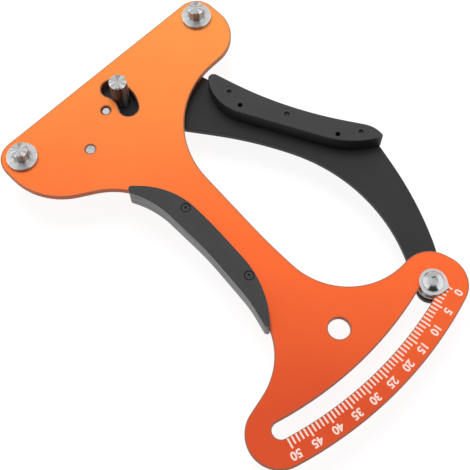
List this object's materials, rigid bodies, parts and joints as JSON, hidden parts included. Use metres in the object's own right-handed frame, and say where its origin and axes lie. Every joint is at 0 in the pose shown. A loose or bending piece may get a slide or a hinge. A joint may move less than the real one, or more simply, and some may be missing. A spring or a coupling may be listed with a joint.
{
  "type": "spoke tension meter",
  "caption": "Bicycle spoke tension meter with an orange plate, a sprung black lever, three posts and a 0 to 50 scale.",
  "frame": {"origin": "midway between the two fixed posts, on the front face of the body plate, where the spoke is laid", "axes": "+X from the left fixed post to the right one, +Y away from the handles, +Z out of the front face"},
  "size_m": [0.1505, 0.21, 0.0348],
  "materials": {
    "orange_anodised": "satin anodised",
    "black_anodised": "matt anodised",
    "grip_plastic": "fine matt",
    "bright_metal": "bright turned",
    "plated_steel": "bright plated",
    "black_steel": "black oxide",
    "spring_steel": "drawn wire",
    "bearing_brass": "turned"
  },
  "bodies": {
    "body": {"body_plate": "orange_anodised", "fixed_post_left": "bright_metal", "fixed_post_right": "bright_metal", "post_screws": "plated_steel", "pivot_bolt": "plated_steel", "pivot_spacer": "plated_steel", "spring_washer": "plated_steel", "spring_hub": "plated_steel", "cap_washer": "plated_steel", "return_spring": "spring_steel", "spring_anchor_pin": "plated_steel", "body_grip_front": "grip_plastic", "body_grip_back": "grip_plastic", "body_grip_screws": "black_steel", "body_grip_nuts": "black_steel"},
    "lever": {"lever_plate": "black_anodised", "moving_post": "bright_metal", "moving_post_screw": "plated_steel", "pivot_bush": "bearing_brass", "spring_lever_pin": "plated_steel", "lever_grip": "grip_plastic", "lever_grip_screws": "black_steel", "lever_grip_nuts": "black_steel", "lever_grip_pins": "black_steel", "pointer": "bright_metal", "pointer_boss": "bright_metal", "pointer_screw": "plated_steel", "pointer_washer": "plated_steel", "pointer_nut": "plated_steel"}
  },
  "joints": [
    {"name": "lever_pivot", "type": "hinge", "parent": "body", "child": "lever", "pos_m": [-0.01168, -0.00825, -0.0075], "axis": [0, 0, 1], "range_deg": [-31.4, 0], "stiffness_Nm_per_rad": 1.36, "springref_deg": 15.47, "deforming": ["return_spring"]}
  ]
}
